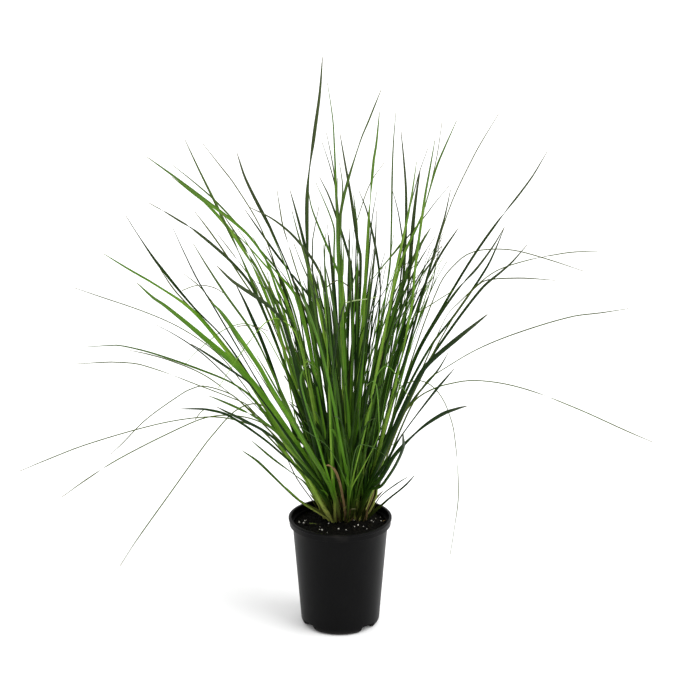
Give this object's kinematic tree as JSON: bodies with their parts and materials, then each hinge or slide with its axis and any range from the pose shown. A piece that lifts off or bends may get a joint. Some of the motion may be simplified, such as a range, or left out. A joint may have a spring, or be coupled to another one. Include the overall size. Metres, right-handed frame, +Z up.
{
  "type": "potted ornamental grass clump",
  "caption": "Upright arching clump of long narrow grass leaves growing in a black plastic nursery pot of potting mix.",
  "frame": {"origin": "centre of the overall box's underside, which is the middle of the pot's base on the floor", "axes": "+Z up along the pot's axis; -Y towards the front of the clump as pictured; +X to the right as pictured"},
  "size_m": [0.85, 0.71, 0.7696],
  "materials": {
    "pot": "satin black moulded plastic",
    "potting_mix": "moist dark bark potting mix, rough",
    "shoot_01": "living grass leaf, satin",
    "shoot_02": "living grass leaf, satin",
    "shoot_03": "living grass leaf, satin",
    "shoot_04": "living grass leaf, satin",
    "shoot_05": "living grass leaf, satin",
    "shoot_06": "living grass leaf, satin",
    "shoot_07": "living grass leaf, satin",
    "shoot_08": "living grass leaf, satin",
    "shoot_09": "living grass leaf, satin",
    "shoot_10": "living grass leaf, satin",
    "shoot_11": "living grass leaf, satin",
    "shoot_12": "living grass leaf, satin",
    "shoot_13": "living grass leaf, satin",
    "shoot_14": "living grass leaf, satin",
    "shoot_15": "living grass leaf, satin",
    "shoot_16": "living grass leaf, satin",
    "shoot_17": "living grass leaf, satin",
    "shoot_18": "living grass leaf, satin",
    "shoot_19": "living grass leaf, satin",
    "shoot_20": "living grass leaf, satin",
    "shoot_21": "living grass leaf, satin",
    "shoot_22": "living grass leaf, satin",
    "shoot_23": "living grass leaf, satin",
    "shoot_24": "living grass leaf, satin",
    "shoot_25": "living grass leaf, satin",
    "shoot_26": "living grass leaf, satin",
    "shoot_27": "living grass leaf, satin",
    "shoot_28": "living grass leaf, satin",
    "shoot_29": "living grass leaf, satin",
    "shoot_30": "living grass leaf, satin",
    "shoot_31": "living grass leaf, satin",
    "shoot_32": "living grass leaf, satin",
    "shoot_33": "living grass leaf, satin",
    "shoot_34": "living grass leaf, satin",
    "shoot_35": "living grass leaf, satin",
    "shoot_36": "living grass leaf, satin",
    "shoot_37": "living grass leaf, satin",
    "shoot_38": "living grass leaf, satin",
    "shoot_39": "living grass leaf, satin",
    "shoot_40": "living grass leaf, satin",
    "shoot_41": "living grass leaf, satin",
    "shoot_42": "living grass leaf, satin",
    "shoot_43": "living grass leaf, satin",
    "shoot_44": "living grass leaf, satin"
  },
  "bodies": {
    "root": {"pot": "pot", "potting_mix": "potting_mix", "shoot_01": "shoot_01", "shoot_02": "shoot_02", "shoot_03": "shoot_03", "shoot_04": "shoot_04", "shoot_05": "shoot_05", "shoot_06": "shoot_06", "shoot_07": "shoot_07", "shoot_08": "shoot_08", "shoot_09": "shoot_09", "shoot_10": "shoot_10", "shoot_11": "shoot_11", "shoot_12": "shoot_12", "shoot_13": "shoot_13", "shoot_14": "shoot_14", "shoot_15": "shoot_15", "shoot_16": "shoot_16", "shoot_17": "shoot_17", "shoot_18": "shoot_18", "shoot_19": "shoot_19", "shoot_20": "shoot_20", "shoot_21": "shoot_21", "shoot_22": "shoot_22", "shoot_23": "shoot_23", "shoot_24": "shoot_24", "shoot_25": "shoot_25", "shoot_26": "shoot_26", "shoot_27": "shoot_27", "shoot_28": "shoot_28", "shoot_29": "shoot_29", "shoot_30": "shoot_30", "shoot_31": "shoot_31", "shoot_32": "shoot_32", "shoot_33": "shoot_33", "shoot_34": "shoot_34", "shoot_35": "shoot_35", "shoot_36": "shoot_36", "shoot_37": "shoot_37", "shoot_38": "shoot_38", "shoot_39": "shoot_39", "shoot_40": "shoot_40", "shoot_41": "shoot_41", "shoot_42": "shoot_42", "shoot_43": "shoot_43", "shoot_44": "shoot_44"}
  },
  "joints": []
}
